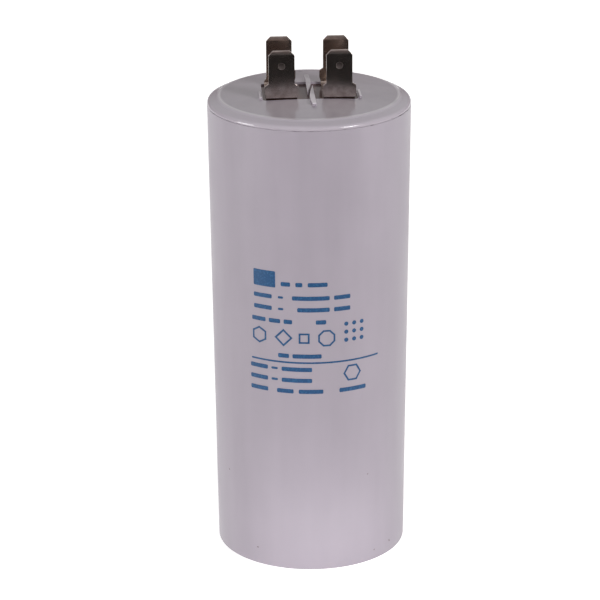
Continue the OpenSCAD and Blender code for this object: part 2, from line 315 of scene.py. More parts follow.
def soften(piece: Object, width: float, segments: int, angle: float = 40.0) -> None:
    """Rounds the edges of a piece that turn by more than an angle in degrees."""
    apply_modifier(piece, "BEVEL", width=width, segments=segments, limit_method="ANGLE",
                   angle_limit=math.radians(angle), harden_normals=False)


def smooth(piece: Object, angle: float = 35.0) -> None:
    """Shades a piece smoothly, keeps its edges sharp and its flats flat.

    Args:
        piece: The piece to shade.
        angle: Turn in degrees above which an edge stays sharp.
    """
    hold(piece)
    bpy.ops.object.shade_smooth_by_angle(angle=math.radians(angle))
    apply_modifier(piece, "WEIGHTED_NORMAL", keep_sharp=True, weight=90)


def copied(piece: Object, name: str) -> Object:
    """Copies a piece together with its mesh and gives the copy a name.

    Args:
        piece: The piece to copy.
        name: Name of the copy.

    Returns:
        The copy.
    """
    hold(piece)
    bpy.ops.object.duplicate(linked=False)
    copy = bpy.context.object
    copy.name = name
    copy.data.name = name
    return copy


def mirrored(piece: Object, name: str) -> Object:
    """Copies a piece to the other pole as its mirror image.

    Args:
        piece: The piece to copy.
        name: Name of the copy.

    Returns:
        The copy.
    """
    copy = copied(piece, name)
    with editing(copy):
        bpy.ops.transform.resize(value=(-1, 1, 1), center_override=(0, 0, 0))
        close_up()
    return copy


def rounded(corners: Sequence[Corner]) -> list[tuple[float, float]]:
    """Rounds the corners of a profile.

    Args:
        corners: The corners in order; the first and last stay sharp.

    Returns:
        Radius and height of each point of the rounded profile.
    """
    points = [(corners[0].radius, corners[0].height)]
    for before, corner, after in zip(corners, corners[1:], corners[2:]):
        at = Vector((corner.radius, corner.height))
        if corner.rounding == 0:
            points.append(tuple(at))
            continue
        back = (Vector((before.radius, before.height)) - at).normalized()
        ahead = (Vector((after.radius, after.height)) - at).normalized()
        half = math.acos(max(-1.0, min(1.0, back.dot(ahead)))) / 2
        centre = at + (back + ahead).normalized() * corner.rounding / math.sin(half)
        first = at + back * corner.rounding / math.tan(half) - centre
        last = at + ahead * corner.rounding / math.tan(half) - centre
        turn = math.pi - 2 * half
        steps = max(2, math.ceil(turn / ARC_STEP))
        for step in range(steps + 1):
            along = step / steps
            spoke = first * math.sin((1 - along) * turn) + last * math.sin(along * turn)
            points.append(tuple(centre + spoke / math.sin(turn)))
    points.append((corners[-1].radius, corners[-1].height))
    return points


def lathe(name: str, corners: Sequence[Corner], facets: int = FACETS) -> Object:
    """Turns a profile about the Z axis.

    Args:
        name: Name of the new piece.
        corners: The profile, which ends on the axis or where it starts.
        facets: Number of facets around the axis.

    Returns:
        The turned piece.
    """
    profile = rounded(corners)
    piece = begin(name, bpy.ops.mesh.primitive_plane_add, size=mm(1))
    with editing(piece):
        bpy.ops.mesh.merge(type="CENTER")
        bpy.ops.transform.translate(value=(profile[0][0], 0, profile[0][1]))
        for (radius, height), (next_radius, next_height) in zip(profile, profile[1:]):
            pull(x=next_radius - radius, z=next_height - height)
        bpy.ops.mesh.select_all(action="SELECT")
        bpy.ops.mesh.spin(steps=facets, angle=2 * math.pi, center=(0, 0, 0), axis=(0, 0, 1))
        close_up()
    return piece


def settle(piece: Object, material: Material) -> None:
    """Gives a new piece its material, lets it ride on the body and reports it.

    Args:
        piece: The new piece.
        material: Its only material.
    """
    piece.data.materials.clear()
    piece.data.materials.append(material)
    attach(piece, BODY)
    LOG.info("built %s with %d faces", piece.name, len(piece.data.polygons))


@dataclass(frozen=True)
class Finish:
    """What all finishes share: a named material whose look comes from its nodes.

    A field that ends in _span holds the values of a noise between which the look changes.
    """

    name: str

    def make(self) -> Material:
        """Makes the material, with one surface shader that the finish dresses.

        Returns:
            The new material.
        """
        material = bare_material(self.name)
        tree = material.node_tree
        place = add(tree, "TexCoord").outputs["Object"]
        shader = add(tree, "BsdfPrincipled", self.dress(tree, place))
        add(tree, "OutputMaterial", {"Surface": shader})
        return material

    def dress(self, tree: NodeTree, place: NodeSocket) -> dict[str, Any]:
        """Adds the nodes of the finish.

        Args:
            tree: The material's node tree.
            place: Output that gives the place on the piece.

        Returns:
            What the surface shader's inputs get.
        """
        raise NotImplementedError


@dataclass(frozen=True)
class MouldedPlastic(Finish):
    """Moulded ABS: a solid pale colour with faint flow clouds, and gloss set by the mould's polish."""

    pale: str = "#b2a9b4"
    deep: str = "#ada4af"
    ior: float = 1.53
    shine: float = 0.5
    roughness: float = 0.36
    roughness_spread: float = 0.06
    cloud: float = mm(16)
    cloud_span: tuple[float, float] = (0.75, 1.25)
    flow_width: float = mm(5)
    flow_stretch: float = 0.12
    # Mould texture, drawn coarser than the real 0.05 mm so that it shows
    grain: float = mm(0.35)
    grain_depth: float = mm(0.004)
    # Slow waves left by shrinkage, which break up reflections
    wave: float = mm(9)
    wave_depth: float = mm(0.02)
    # Darker colour in patches along the seam
    seam_dark: str = "#3b3330"
    seam_dark_patch: float = mm(5)
    seam_dark_span: tuple[float, float] = (0.5, 0.66)
    seam: float = CASE_H
    seam_reach: float = mm(0.2)
    # Outer part painted paler: painted light that makes the rim brighter than the panel
    painted_rim_light: str = "#bdb4be"
    painted_rim_light_r: float = mm(100)
    painted_rim_light_fade: float = mm(0.2)
    # Painted highlight: paler colour in a ring about an edge and on raised parts above a height
    painted_highlight: str = "#e6dfe6"
    painted_highlight_r: float = mm(100)
    painted_highlight_reach: float = mm(0.55)
    painted_highlight_patch: float = mm(14)
    painted_highlight_span: tuple[float, float] = (0.2, 0.4)
    painted_highlight_z: float = mm(1000)
    painted_highlight_fade: float = mm(0.2)
    painted_highlight_share: float = 0.9
    # The painted highlight on raised parts fades from the first depth to the second along Y, down to the
    # least share
    painted_highlight_depths: tuple[float, float] = (mm(2), mm(5))
    painted_highlight_least: float = 0.35
    # Painted shade on a sunk floor, below a height and within a radius, with less shine there
    painted_shade: str = "#6b5654"
    painted_shade_z: float = mm(-1000)
    painted_shade_r: float = mm(14.6)
    painted_shade_fade: float = mm(0.1)
    painted_shade_shine: float = 0.1

    def dress(self, tree: NodeTree, place: NodeSocket) -> dict[str, Any]:
        """Adds a clouded colour with a painted paler rim, painted highlights, painted shade on a sunk floor
        and a darker seam, uneven gloss and a fine grain.

        Args:
            tree: The material's node tree.
            place: Output that gives the place on the piece.

        Returns:
            What the surface shader's inputs get.
        """
        cloud = add(tree, "TexNoise", {"Vector": place, "Scale": per(self.cloud), "Detail": 4.0})
        drawn = add(tree, "Mapping", {"Vector": place, "Scale": (1, 1, self.flow_stretch)})
        flow = add(tree, "TexNoise", {"Vector": drawn, "Scale": per(self.flow_width), "Detail": 2.0})
        both = add(tree, "Math", (cloud, flow), operation="ADD")
        shade = add(tree, "MapRange", (both, *self.cloud_span))
        body = add(tree, "Mix", (shade, self.deep, self.pale), data_type="RGBA")

        level = add(tree, "VectorMath", (place, (1, 1, 0)), operation="MULTIPLY")
        radius = add(tree, "VectorMath", (level,), operation="LENGTH")
        # Painted light: outside a radius the colour is painted paler, so the rim looks brighter than the
        # panel
        outer = add(tree, "MapRange", (radius, self.painted_rim_light_r, self.painted_rim_light_r + self.painted_rim_light_fade))
        rim_lightened = add(tree, "Mix", (outer, body, self.painted_rim_light), data_type="RGBA")

        # Painted highlight: a paler ring about the panel's edge, broken in patches, and paler tops of fins
        # and ribs
        off_edge = add(tree, "Math", (radius, self.painted_highlight_r), operation="SUBTRACT")
        from_edge = add(tree, "Math", (off_edge,), operation="ABSOLUTE")
        ring = add(tree, "MapRange", (from_edge, self.painted_highlight_reach, 0.0))
        highlight_noise = add(tree, "TexNoise", {"Vector": place, "Scale": per(self.painted_highlight_patch), "Detail": 1.0})
        broken = add(tree, "MapRange", (highlight_noise, *self.painted_highlight_span))
        rim = add(tree, "Math", (ring, broken), operation="MULTIPLY")
        axes = add(tree, "SeparateXYZ", {"Vector": place})
        height = axes.outputs["Z"]
        tops = add(tree, "MapRange", (height, self.painted_highlight_z, self.painted_highlight_z + self.painted_highlight_fade))
        highlight_falloff = add(tree, "MapRange", (axes.outputs["Y"], *self.painted_highlight_depths, 1.0, self.painted_highlight_least))
        raised = add(tree, "Math", (tops, highlight_falloff), operation="MULTIPLY")
        either = add(tree, "Math", (rim, raised), operation="MAXIMUM")
        painted_highlight = add(tree, "Math", (either, self.painted_highlight_share), operation="MULTIPLY")
        highlighted = add(tree, "Mix", (painted_highlight, rim_lightened, self.painted_highlight), data_type="RGBA")

        # Painted shade: the sunk floor of the recess is painted dark and given less shine
        inside = add(tree, "Math", (radius, self.painted_shade_r), operation="LESS_THAN")
        sunk = add(tree, "MapRange", (height, self.painted_shade_z + self.painted_shade_fade, self.painted_shade_z))
        painted_shade = add(tree, "Math", (inside, sunk), operation="MULTIPLY")
        shade_painted = add(tree, "Mix", (painted_shade, highlighted, self.painted_shade), data_type="RGBA")
        shine = add(tree, "MapRange", (painted_shade, 0.0, 1.0, self.shine, self.painted_shade_shine))

        # Darker colour in patches within a reach of the seam's height
        off_seam = add(tree, "Math", (height, self.seam), operation="SUBTRACT")
        distance = add(tree, "Math", (off_seam,), operation="ABSOLUTE")
        near = add(tree, "MapRange", (distance, self.seam_reach, 0.0))
        patch = add(tree, "TexNoise", {"Vector": place, "Scale": per(self.seam_dark_patch), "Detail": 3.0})
        patchy = add(tree, "MapRange", (patch, *self.seam_dark_span))
        seam_dark = add(tree, "Math", (near, patchy), operation="MULTIPLY")
        colour = add(tree, "Mix", (seam_dark, shade_painted, self.seam_dark), data_type="RGBA")

        gloss = add(tree, "MapRange", (cloud, *NOISE_SPAN, *about(self.roughness, self.roughness_spread)))
        waves = add(tree, "TexNoise", {"Vector": place, "Scale": per(self.wave), "Detail": 1.0})
        swell = add(tree, "Bump", {"Height": waves, "Strength": 1.0, "Distance": self.wave_depth})
        grain = add(tree, "TexNoise", {"Vector": place, "Scale": per(self.grain), "Detail": 2.0})
        relief = add(tree, "Bump",
                     {"Height": grain, "Strength": 1.0, "Distance": self.grain_depth, "Normal": swell})
        return {"Base Color": colour, "IOR": self.ior, "Specular IOR Level": shine, "Roughness": gloss,
                "Normal": relief}


@dataclass(frozen=True)
class TinnedMetal(Finish):
    """Tin plating on rolled sheet or wire: a mirror of low gloss with tarnish blotches and fine rolling
    lines.
    """

    bright: str = "#d8cec8"
    tarnish: str = "#afa39d"
    roughness: float = 0.2
    roughness_spread: float = 0.05
    blotch: float = mm(2.4)
    blotch_span: tuple[float, float] = (0.36, 0.62)
    # Rolling lines, drawn coarser than the real ones so that they show
    line: float = mm(0.16)
    line_stretch: float = 0.04
    line_depth: float = mm(0.0006)
    # Frosted and tarnished by the punch within a distance of one place, the same on all sides of the axes
    punched: str = "#504947"
    punched_at: tuple[float, float, float] = (mm(1000), 0.0, 0.0)
    punched_r: float = mm(0.88)
    punched_fade: float = mm(0.08)
    punched_roughness: float = 0.6
    # Painted shade: the inside of the fold and the cut edges, nearer the middle plane than this, are painted
    # darker
    dull: str = "#e6e2e0"
    painted_fold_shade_y: float = 0.0

    def dress(self, tree: NodeTree, place: NodeSocket) -> dict[str, Any]:
        """Adds a blotched metal colour with painted shade inside the fold, uneven gloss with frosted punch
        marks, and lines along the sheet.

        Args:
            tree: The material's node tree.
            place: Output that gives the place on the piece.

        Returns:
            What the surface shader's inputs get.
        """
        blotch = add(tree, "TexNoise", {"Vector": place, "Scale": per(self.blotch), "Detail": 5.0})
        spread = add(tree, "MapRange", (blotch, *self.blotch_span))
        plated = add(tree, "Mix", (spread, self.bright, self.tarnish), data_type="RGBA")
        folded = add(tree, "VectorMath", (place,), operation="ABSOLUTE")
        axes = add(tree, "SeparateXYZ", {"Vector": folded})
        # Painted shade: faces nearer the middle plane, the inside of the fold and the cut edges, are painted
        # darker
        inner = add(tree, "Math", (axes.outputs["Y"], self.painted_fold_shade_y), operation="LESS_THAN")
        fold_shaded = add(tree, "Mix", (inner, plated, self.dull), data_type="RGBA", blend_type="MULTIPLY")
        away = add(tree, "VectorMath", (folded, self.punched_at), operation="DISTANCE")
        punched = add(tree, "MapRange", (away, self.punched_r, self.punched_r - self.punched_fade))
        colour = add(tree, "Mix", (punched, fold_shaded, self.punched), data_type="RGBA")
        gloss = add(tree, "MapRange", (blotch, *NOISE_SPAN, *about(self.roughness, self.roughness_spread)))
        sheen = add(tree, "Mix", (punched, gloss, self.punched_roughness), data_type="FLOAT")
        drawn = add(tree, "Mapping", {"Vector": place, "Scale": (1, 1, self.line_stretch)})
        lines = add(tree, "TexNoise", {"Vector": drawn, "Scale": per(self.line), "Detail": 2.0})
        relief = add(tree, "Bump", {"Height": lines, "Strength": 1.0, "Distance": self.line_depth})
        return {"Base Color": colour, "Metallic": 1.0, "Roughness": sheen, "Normal": relief}


@dataclass(frozen=True)
class PrintedInk(Finish):
    """Pad-printed ink: a thin satin layer that covers unevenly, so that it is paler where it is thin."""

    full: str = "#174a78"
    thin: str = "#2c628f"
    roughness: float = 0.42
    cover: float = mm(0.5)
    cover_span: tuple[float, float] = (0.48, 0.72)

    def dress(self, tree: NodeTree, place: NodeSocket) -> dict[str, Any]:
        """Adds a blue that varies with the thickness of the ink.

        Args:
            tree: The material's node tree.
            place: Output that gives the place on the piece.

        Returns:
            What the surface shader's inputs get.
        """
        cover = add(tree, "TexNoise", {"Vector": place, "Scale": per(self.cover), "Detail": 3.0})
        thin = add(tree, "MapRange", (cover, *self.cover_span))
        colour = add(tree, "Mix", (thin, self.full, self.thin), data_type="RGBA")
        return {"Base Color": colour, "Roughness": self.roughness}


@dataclass(frozen=True)
class PlainFilling(Finish):
    """Plain plastic, resin, sprayed metal or dust: two close tones and a grain of one size."""

    pale: str = "#c8c4b8"
    deep: str = "#a8a497"
    metallic: float = 0.0
    roughness: float = 0.5
    grain: float = mm(1.5)
    grain_depth: float = mm(0.05)
    # Stretch of the pattern along Z, below 1 for a pattern drawn out along the axis
    stretch: float = 1.0

    def dress(self, tree: NodeTree, place: NodeSocket) -> dict[str, Any]:
        """Adds two mixed tones and a relief of the same grain.

        Args:
            tree: The material's node tree.
            place: Output that gives the place on the piece.

        Returns:
            What the surface shader's inputs get.
        """
        drawn = add(tree, "Mapping", {"Vector": place, "Scale": (1, 1, self.stretch)})
        grain = add(tree, "TexNoise", {"Vector": drawn, "Scale": per(self.grain), "Detail": 4.0})
        colour = add(tree, "Mix", (grain, self.deep, self.pale), data_type="RGBA")
        relief = add(tree, "Bump", {"Height": grain, "Strength": 1.0, "Distance": self.grain_depth})
        return {"Base Color": colour, "Metallic": self.metallic, "Roughness": self.roughness,
                "Normal": relief}


@dataclass
class Case:
    """Drafted cup with a closed base."""

    mouth_d: float = MOUTH_D
    taper_d: float = mm(2.5)
    height: float = CASE_H
    wall: float = mm(1.8)
    base_t: float = mm(2)
    base_edge: float = mm(0.2)
    seam_chamfer: float = SEAM_CHAMFER
    seam_gap: float = SEAM_GAP
    gate_r: float = mm(2.6)
    gate_depth: float = mm(0.25)
    gate_stub_r: float = mm(0.6)
    gate_stub_edge: float = mm(0.05)
    gate_edge: float = mm(0.1)
    finish: Finish = MouldedPlastic("moulded_abs_satin")

    def outer_r(self, height: float) -> float:
        """Gives the outer radius at a height."""
        return (self.mouth_d - self.taper_d + self.taper_d * height / self.height) / 2

    def build(self) -> Object:
        """Turns the cup, with the round dimple of the moulding gate under its base.

        Returns:
            The finished piece.
        """
        top = self.height - self.seam_gap
        side = self.height - self.seam_chamfer
        piece = lathe("case_moulding", [
            Corner(0, self.gate_depth / 2),
            Corner(self.gate_stub_r, self.gate_depth / 2, self.gate_stub_edge),
            Corner(self.gate_stub_r, self.gate_depth, self.gate_stub_edge),
            Corner(self.gate_r - self.gate_depth, self.gate_depth, self.gate_edge),
            Corner(self.gate_r, 0, self.gate_edge),
            Corner(self.outer_r(0) - 2 * self.base_edge, 0),
            Corner(self.outer_r(0), 0, self.base_edge),
            Corner(self.outer_r(2 * self.base_edge), 2 * self.base_edge),
            Corner(self.outer_r(side), side, SEAM_OUTER),
            Corner(self.outer_r(top) - self.seam_chamfer, top, SEAM_INNER),
            Corner(self.outer_r(top) - self.wall, top),
            Corner(self.outer_r(self.base_t) - self.wall, self.base_t),
            Corner(0, self.base_t),
        ])
        smooth(piece)
        settle(piece, self.finish.make())
        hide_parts("case")
        return piece


@dataclass
class Terminals:
    """Two double push-on terminals, each folded from one strip."""

    pole_x: float = POLE_X
    length: float = mm(14.4)
    sheet: float = mm(0.8)
    tab_w: float = mm(6.3)
    shoulder_w: float = mm(8.1)
    foot_w: float = mm(7.5)
    foot_z: float = mm(117.35)
    bend_outer: float = mm(1.2)
    bend_steps: int = 8
    flare_h: float = mm(0.9)
    shoulder_h: float = mm(3.2)
    shoulder_drop: float = mm(0.6)
    tab_l: float = mm(8.2)
    tip_cut_x: float = mm(1.1)
    tip_cut_z: float = mm(1.2)
    tip_bevel: float = mm(0.9)
    tip_inset: float = mm(0.16)
    dimple_d: float = mm(1.7)
    dimple_depth: float = mm(0.2)
    dimple_drop: float = mm(3.8)
    dimple_facets: tuple[int, int] = (64, 40)
    rivet_hole_d: float = RIVET_HOLE_D
    burr: float = mm(0.02)
    finish: Finish = TinnedMetal("tinned_brass_strip", punched_at=(POLE_X, mm(7.3), mm(126.15)),
                                 painted_fold_shade_y=mm(7.15))

    def raise_row(self, rise: float, inner: float, outer: float) -> None:
        """Extrudes the selected edge upwards and gives it new ends.

        Args:
            rise: Height of the new row above the last one.
            inner: Half width on the side of the other pole.
            outer: Half width on the side of the rim.
        """
        pull(z=rise)
        ends = [place.x for place in picked()]
        middle = (min(ends) + max(ends)) / 2
        stretch = (inner + outer) / (max(ends) - min(ends))
        bpy.ops.transform.resize(value=(stretch, 1, 1), center_override=(middle, 0, 0))
        bpy.ops.transform.translate(value=(self.pole_x + (outer - inner) / 2 - middle, 0, 0))

    def raise_tab(self, front: bool) -> None:
        """Bends one end of the foot upwards and draws the tab's outline from it.

        Args:
            front: True for the front tab, which has a shoulder on both sides.
        """
        sign = -1 if front else 1
        edge_y = sign * (self.length / 2 - self.bend_outer)
        pick(Element.EDGE, lambda place: abs(place.y - edge_y) < SAME_POINT)
        bpy.ops.mesh.spin(steps=self.bend_steps, angle=-sign * math.pi / 2,
                          center=(0, edge_y, self.foot_z + self.bend_outer), axis=(1, 0, 0))
        half = self.tab_w / 2
        wide = self.shoulder_w / 2
        outer = wide if front else half
        cut = self.tip_cut_x * (1 - self.tip_bevel / self.tip_cut_z)
        self.raise_row(self.flare_h, wide, outer)
        self.raise_row(self.shoulder_h - self.flare_h - self.shoulder_drop, wide, outer)
        self.raise_row(self.shoulder_drop, half, half)
        self.raise_row(self.tab_l - self.tip_cut_z, half, half)
        self.raise_row(self.tip_cut_z - self.tip_bevel, half - cut, half - cut)
        self.raise_row(self.tip_bevel, half - self.tip_cut_x, half - self.tip_cut_x)

    def thin_tips(self, tip_z: float) -> None:
        """Moves the faces of both tips inwards at their upper edge.

        Args:
            tip_z: Height of the tips.
        """
        for sign in (-1, 1):
            for face, move in ((self.length / 2, -1), (self.length / 2 - self.sheet, 1)):
                pick(Element.VERTEX, lambda place: place.z > tip_z - SAME_POINT
                     and abs(place.y - sign * face) < SAME_POINT)
                bpy.ops.transform.translate(value=(0, sign * move * self.tip_inset, 0))

    def build(self) -> list[Object]:
        """Folds the right terminal and mirrors it for the left pole.

        Returns:
            The left and the right terminal.
        """
        tip_z = self.foot_z + self.bend_outer + self.shoulder_h + self.tab_l
        foot_l = self.length - 2 * self.bend_outer
        right = plate("terminal_strip_right", self.foot_w, foot_l, (self.pole_x, 0, self.foot_z))
        with editing(right):
            self.raise_tab(front=True)
            self.raise_tab(front=False)
            close_up()
            mesh = bmesh.from_edit_mesh(right.data)
            foot = min(mesh.faces, key=lambda face: face.calc_center_median().z)
            if foot.normal.z < 0:
                bpy.ops.mesh.flip_normals()
        apply_modifier(right, "SOLIDIFY", thickness=self.sheet, offset=1.0, use_even_offset=True)
        with editing(right):
            self.thin_tips(tip_z)
            close_up()
        ball_r = (self.dimple_d ** 2 / 4 + self.dimple_depth ** 2) / (2 * self.dimple_depth)
        ball_y = self.length / 2 + ball_r - self.dimple_depth
        around_ball, rings = self.dimple_facets
        for sign in (-1, 1):
            ball = begin("dimple_cut", bpy.ops.mesh.primitive_uv_sphere_add, segments=around_ball,
                         ring_count=rings, radius=ball_r,
                         location=(self.pole_x, sign * ball_y, tip_z - self.dimple_drop))
            combine(right, ball, Joining.CUT)
        shank = begin("shank_cut", bpy.ops.mesh.primitive_cylinder_add, vertices=HOLE_FACETS,
                      radius=self.rivet_hole_d / 2, depth=4 * self.sheet,
                      location=(self.pole_x, 0, self.foot_z))
        combine(right, shank, Joining.CUT)
        soften(right, self.burr, 2)
        left = mirrored(right, "terminal_strip_left")
        material = self.finish.make()
        for piece, node in ((left, "terminal_left"), (right, "terminal_right")):
            smooth(piece)
            settle(piece, material)
            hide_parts(node)
        return [left, right]


@dataclass
class Rivets:
    """Hollow rivets that hold the terminals to the cover."""

    pole_x: float = POLE_X
    shank_r: float = mm(1.6)
    bore_r: float = mm(1)
    head_r: float = mm(2.6)
    head_t: float = mm(0.5)
    head_edge: float = mm(0.05)
    low_z: float = mm(113.25)
    high_z: float = mm(118.65)
    edge: float = mm(0.22)
    funnel: float = mm(0.35)
    facets: int = 48
    finish: Finish = TinnedMetal("tinned_brass_rivet", bright="#c9c0b6", tarnish="#a4988b", roughness=0.26)

    def build(self) -> list[Object]:
        """Turns the right rivet and mirrors it for the left pole.

        Returns:
            The left and the right rivet.
        """
        middle = (self.low_z + self.high_z) / 2
        right = lathe("hollow_rivet_right", [
            Corner(self.bore_r, middle),
            Corner(self.bore_r, self.low_z, self.funnel),
            Corner(self.head_r, self.low_z, self.edge),
            Corner(self.head_r, self.low_z + self.head_t, self.head_edge),
            Corner(self.shank_r, self.low_z + self.head_t),
            Corner(self.shank_r, self.high_z - self.head_t),
            Corner(self.head_r, self.high_z - self.head_t, self.head_edge),
            Corner(self.head_r, self.high_z, self.edge),
            Corner(self.bore_r, self.high_z, self.funnel),
            Corner(self.bore_r, middle),
        ], self.facets)
        with editing(right):
            bpy.ops.transform.translate(value=(self.pole_x, 0, 0))
        left = mirrored(right, "hollow_rivet_left")
        material = self.finish.make()
        for piece, node in ((left, "rivet_left"), (right, "rivet_right")):
            smooth(piece)
            settle(piece, material)
            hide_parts(node)
        return [left, right]


@dataclass
class Cover:
    """Moulded lid with skirt, rim ring, crowned panel, two fins, two ribs and a recess for the terminals."""

    mouth_d: float = MOUTH_D
    case_h: float = CASE_H
    seam_chamfer: float = SEAM_CHAMFER
    seam_gap: float = SEAM_GAP
    rim_w: float = mm(2.05)
    rim_h: float = mm(1.75)
    rim_edge: float = mm(1.1)
    rim_fall: float = mm(0.8)
    rim_foot: float = mm(0.1)
    rim_foot_round: float = mm(0.06)
    panel_rise: float = mm(0.4)
    panel_slope: float = mm(0.6)
    panel_t: float = mm(2.8)
    panel_edge: float = mm(0.3)
    crown_rise: float = mm(1)
    crown_rows: int = 20
    skirt_r: float = mm(23.03)
    skirt_h: float = mm(6)
    skirt_t: float = mm(1.5)
    # Roundings of the skirt: inside under the panel, and at the inner and outer edge of its end
    skirt_rounds: tuple[float, float, float] = (mm(0.4), mm(0.2), mm(0.3))
    pole_x: float = POLE_X
    recess_w: float = mm(22.9)
    recess_l: float = mm(15)
    recess_corner: float = mm(0.8)
    recess_floor: float = mm(0.2)
    # Height of the space above the floor, and how much wider its upper end is on each side
    recess_room: float = mm(2)
    recess_flare: tuple[float, float] = (mm(0.4), mm(0.3))
    rib_size: tuple[float, float] = (mm(0.7), mm(5.6))
    rib_place: tuple[float, float] = (mm(12.1), mm(-3.9))
    rib_rise: float = mm(0.25)
    # Share of the rib's width by which its ends are rounded
    rib_round: float = 0.48
    rib_edge: float = mm(0.15)
    # Depth below the panel's edge at which fins and ribs start
    sink: float = mm(0.5)
    shank_hole_d: float = RIVET_HOLE_D
    fin_l: float = mm(15.4)
    fin_blunt: float = mm(5)
    fin_w: float = mm(1.5)
    fin_rise: float = mm(0.4)
    fin_draft: float = mm(0.2)
    fin_side: float = mm(0.8)
    fin_reach: float = mm(2.5)
    fin_shift: float = mm(0.3)
    fin_tip: float = mm(0.3)
    fin_edge: float = mm(0.3)
    fin_rows: int = 22
    mark_size: tuple[float, float] = (mm(1.4), mm(0.45))
    mark_depth: float = mm(0.5)
    mark_place: tuple[float, float] = (mm(-1.4), mm(19.05))
    finish: Finish = MouldedPlastic("moulded_abs_gloss", roughness=0.17, roughness_spread=0.04,
                                    grain_depth=mm(0.001), wave_depth=mm(0.006), wave=mm(7),
                                    pale="#b2a9b3", deep="#aba2ac", painted_rim_light_r=mm(22.3), painted_highlight_r=mm(22.05),
                                    painted_highlight_z=mm(118.2), painted_shade_z=mm(117.4))

    @property
    def panel_z(self) -> float:
        """Height of the raised panel's edge."""
        return self.case_h + self.rim_h + self.panel_rise

    @property
    def panel_r(self) -> float:
        """Radius of the raised panel's edge."""
        return self.mouth_d / 2 - self.rim_w - self.panel_slope

    def crown_z(self, radius: float) -> float:
        """Gives the height of the crowned panel at a distance from the axis."""
        ball_r = (self.panel_r ** 2 + self.crown_rise ** 2) / (2 * self.crown_rise)
        return self.panel_z + self.crown_rise - ball_r + math.sqrt(ball_r ** 2 - radius ** 2)

    def turn_lid(self) -> Object:
        """Turns the lid without its recess and fins.

        Returns:
            The turned lid.
        """
        mouth_r = self.mouth_d / 2
        rim_z = self.case_h + self.rim_h
        foot_r = mouth_r - self.rim_w
        under = self.panel_z - self.panel_t
        low = self.case_h + self.seam_gap
        inner_round, end_inner, end_outer = self.skirt_rounds
        crown = [self.panel_r * (1 - row / self.crown_rows) for row in range(1, self.crown_rows + 1)]
        return lathe("cover_moulding", [
            Corner(0, under),
            Corner(self.skirt_r - self.skirt_t, under, inner_round),
            Corner(self.skirt_r - self.skirt_t, self.case_h - self.skirt_h, end_inner),
            Corner(self.skirt_r, self.case_h - self.skirt_h, end_outer),
            Corner(self.skirt_r, low),
            Corner(mouth_r - self.seam_chamfer, low, SEAM_INNER),
            Corner(mouth_r, low + self.seam_chamfer, SEAM_OUTER),
            Corner(mouth_r, rim_z - self.rim_fall, self.rim_edge),
            Corner(foot_r + self.rim_foot, rim_z),
            Corner(foot_r, rim_z, self.rim_foot_round),
            Corner(self.panel_r, self.panel_z, self.panel_edge),
            *(Corner(radius, self.crown_z(radius)) for radius in crown),
        ])

    def recess_space(self) -> Object:
        """Models the space that is cut out for the terminals: a rounded plate that widens upwards.

        Returns:
            The solid to cut out.
        """
        low = self.panel_z + self.recess_floor
        sizes = (self.recess_w, self.recess_l)
        space = plate("recess_cut", *sizes, (0, 0, low))
        with editing(space):
            bpy.ops.mesh.bevel(offset=self.recess_corner, segments=8, affect="VERTICES")
            pull(z=self.recess_room)
            flare = [1 + 2 * wider / size for wider, size in zip(self.recess_flare, sizes)]
            bpy.ops.transform.resize(value=(*flare, 1), center_override=(0, 0, low))
            close_up()
        return space

    def raise_fin(self) -> Object:
        """Models the front fin: straight on its right, bowed on its left, pointed inwards, rounded on top.

        Returns:
            The solid to join.
        """
        bow_l = self.fin_l + self.fin_blunt
        bow_r = (bow_l ** 2 / 4 + self.fin_w ** 2) / (2 * self.fin_w)
        low = self.panel_z - self.sink
        flat_x = self.fin_shift + self.fin_side
        fin = begin("fin", bpy.ops.mesh.primitive_grid_add, x_subdivisions=1, y_subdivisions=self.fin_rows,
                    size=self.fin_l, location=(flat_x - self.fin_l / 2, self.fin_reach - self.fin_l / 2, low))
        with editing(fin):
            for row in range(self.fin_rows + 1):
                along = self.fin_l * row / self.fin_rows
                bow = math.sqrt(bow_r ** 2 - (along - bow_l / 2) ** 2) - bow_r + self.fin_w
                row_y = self.fin_reach - along
                pick(Element.VERTEX, lambda place: abs(place.y - row_y) < SAME_POINT)
                bpy.ops.transform.resize(value=(max(bow, self.fin_tip) / self.fin_l, 1, 1),
                                         center_override=(flat_x, row_y, low))
            bpy.ops.mesh.select_all(action="SELECT")
            pull(z=self.sink + self.crown_rise + self.fin_rise)
            bpy.ops.transform.resize(value=(1 - self.fin_draft / self.fin_w, 1, 1),
                                     center_override=(flat_x, 0, low))
            close_up()
        soften(fin, self.fin_edge, 4, 60)
        return fin

    def raise_rib(self, side: Side) -> Object:
        """Models a low rib with rounded ends and top beside one terminal.

        Args:
            side: The pole that it stands at.

        Returns:
            The solid to join.
        """
        low = self.panel_z - self.sink
        rib = plate("rib", *self.rib_size, (side.value * self.rib_place[0], self.rib_place[1], low))
        with editing(rib):
            bpy.ops.mesh.bevel(offset=self.rib_round * self.rib_size[0], segments=6, affect="VERTICES")
            pull(z=self.sink + self.crown_rise + self.rib_rise)
            close_up()
        soften(rib, self.rib_edge, 3, 60)
        return rib

